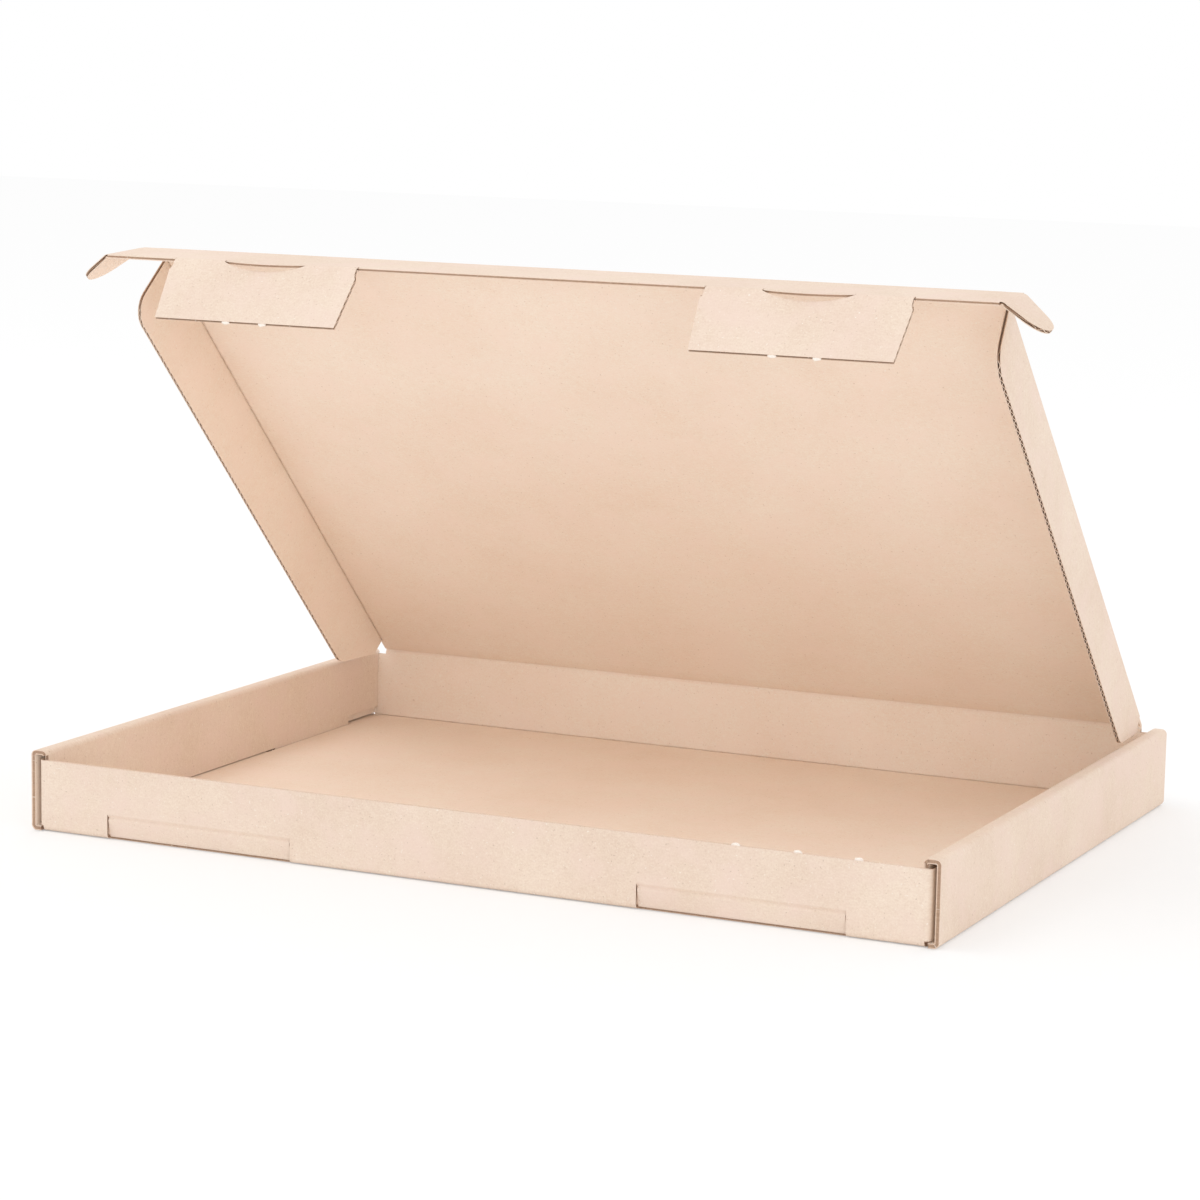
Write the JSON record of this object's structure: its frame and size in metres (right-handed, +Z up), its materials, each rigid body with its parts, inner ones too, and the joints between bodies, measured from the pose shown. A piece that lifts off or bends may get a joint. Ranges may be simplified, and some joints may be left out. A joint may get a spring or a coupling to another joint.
{
  "type": "flat mailer box",
  "caption": "Flat corrugated mailer box with a hinged lid, side flaps, tuck ears and a front flap whose tabs lock into slots in the front wall.",
  "frame": {"origin": "middle of the tray's underside, on the surface it stands on", "axes": "+X to the right along the front wall, +Y from the front wall to the lid's hinge, +Z up"},
  "size_m": [0.3728, 0.25, 0.2077],
  "materials": {
    "board": "matt uncoated kraft"
  },
  "bodies": {
    "tray": {"tray": "board"},
    "left_strip": {"left_strip": "board"},
    "right_strip": {"right_strip": "board"},
    "lid": {"lid": "board"},
    "left_side_flap": {"left_side_flap": "board"},
    "right_side_flap": {"right_side_flap": "board"},
    "front_flap": {"front_flap": "board"},
    "left_ear": {"left_ear": "board"},
    "right_ear": {"right_ear": "board"},
    "left_tab": {"left_tab": "board"},
    "right_tab": {"right_tab": "board"}
  },
  "joints": [
    {"name": "lid_hinge", "type": "hinge", "parent": "tray", "child": "lid", "pos_m": [0, 0.12425, 0.03], "axis": [-1, 0, 0], "range_deg": [-45, 135]},
    {"name": "left_side_fold", "type": "hinge", "parent": "lid", "child": "left_side_flap", "pos_m": [-0.165, 0.12425, 0.03], "axis": [0, 0.7071, -0.7071], "range_deg": [-5.5, 84.5]},
    {"name": "right_side_fold", "type": "hinge", "parent": "lid", "child": "right_side_flap", "pos_m": [0.165, 0.12425, 0.03], "axis": [0, -0.7071, 0.7071], "range_deg": [-5.5, 84.5]},
    {"name": "front_fold", "type": "hinge", "parent": "lid", "child": "front_flap", "pos_m": [0, -0.05274, 0.20699], "axis": [-1, 0, 0], "range_deg": [-42, 48]},
    {"name": "left_ear_fold", "type": "hinge", "parent": "front_flap", "child": "left_ear", "pos_m": [-0.17265, -0.05274, 0.20699], "axis": [0, 0.9986, 0.0523], "range_deg": [-54, 36]},
    {"name": "right_ear_fold", "type": "hinge", "parent": "front_flap", "child": "right_ear", "pos_m": [0.17265, -0.05274, 0.20699], "axis": [0, -0.9986, -0.0523], "range_deg": [-54, 36]},
    {"name": "left_tab_fold", "type": "hinge", "parent": "front_flap", "child": "left_tab", "pos_m": [-0.1048, -0.0788, 0.20562], "axis": [-1, 0, 0], "range_deg": [-40, 50]},
    {"name": "right_tab_fold", "type": "hinge", "parent": "front_flap", "child": "right_tab", "pos_m": [0.1048, -0.0788, 0.20562], "axis": [-1, 0, 0], "range_deg": [-40, 50]},
    {"name": "left_strip_fold", "type": "hinge", "parent": "tray", "child": "left_strip", "pos_m": [-0.1048, -0.12425, 0.008], "axis": [-1, 0, 0], "range_deg": [-68, 12]},
    {"name": "right_strip_fold", "type": "hinge", "parent": "tray", "child": "right_strip", "pos_m": [0.1048, -0.12425, 0.008], "axis": [-1, 0, 0], "range_deg": [-68, 12]}
  ]
}
